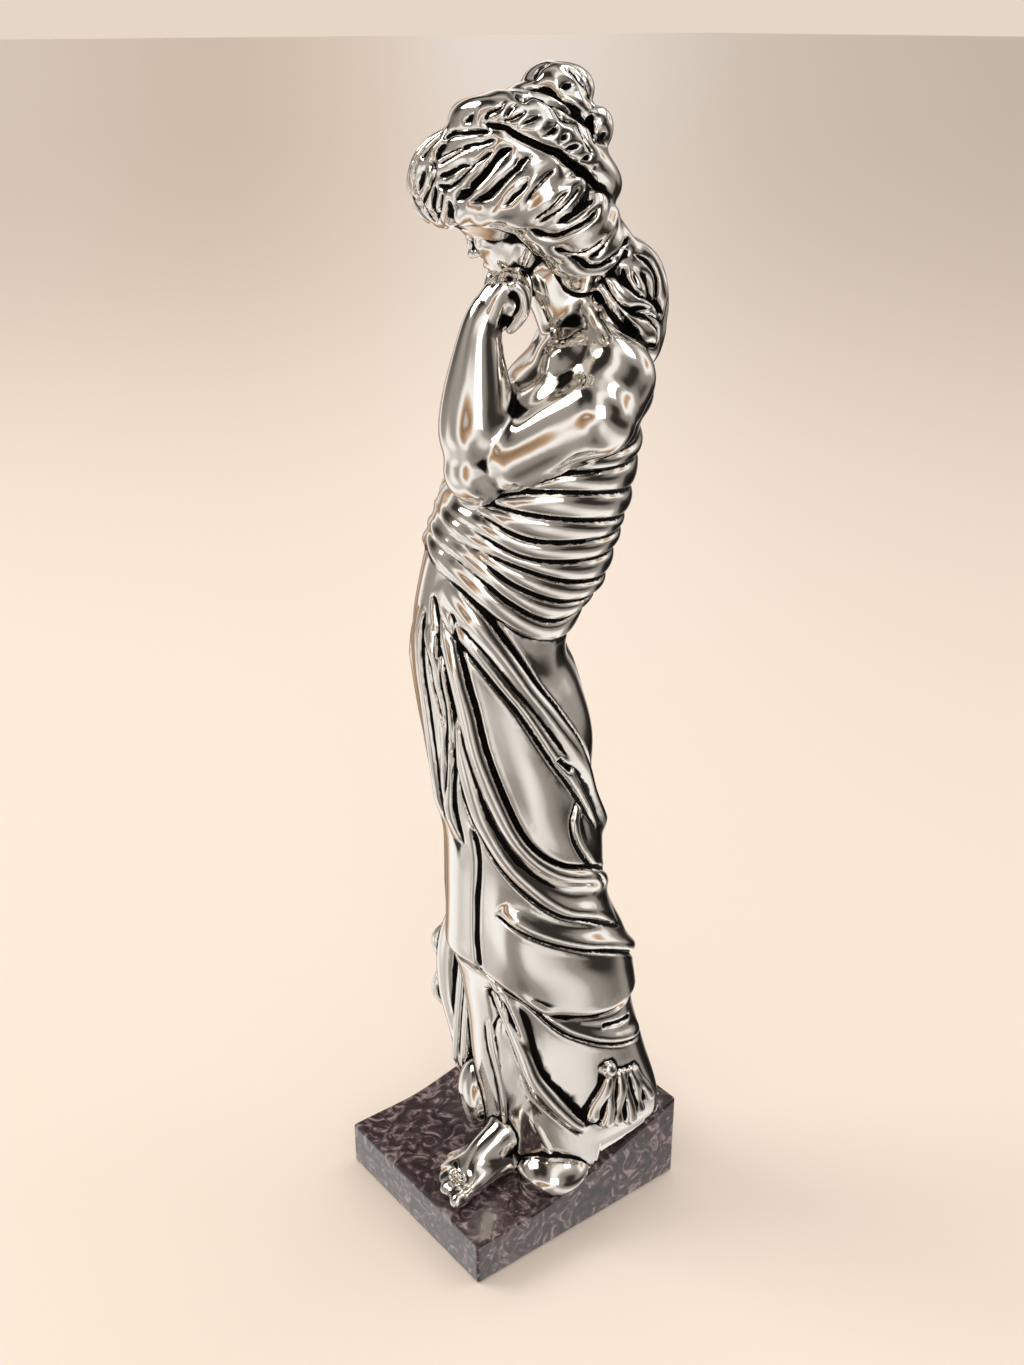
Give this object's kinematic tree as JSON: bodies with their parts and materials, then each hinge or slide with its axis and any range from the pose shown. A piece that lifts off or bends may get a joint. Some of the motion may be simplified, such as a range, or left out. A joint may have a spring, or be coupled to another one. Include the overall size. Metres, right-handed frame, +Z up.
{
  "type": "woman statue",
  "caption": "Standing draped woman leaning her cheek on her hand, silver-laminated, on a ramped marbled plinth.",
  "frame": {"origin": "centre of the plinth's underside, on the surface it stands on", "axes": "+Z up; the plinth's front and the bare foot face -Y; the figure's own left is +X"},
  "size_m": [0.0962, 0.1072, 0.4196],
  "materials": {
    "silver_laminate": "mirror-bright silver foil over cast resin, darkened in the creases",
    "marbled_resin": "glossy dark brown-grey cast resin with pearly swirls"
  },
  "bodies": {
    "root": {"figure": "silver_laminate", "plinth": "marbled_resin"}
  },
  "joints": []
}
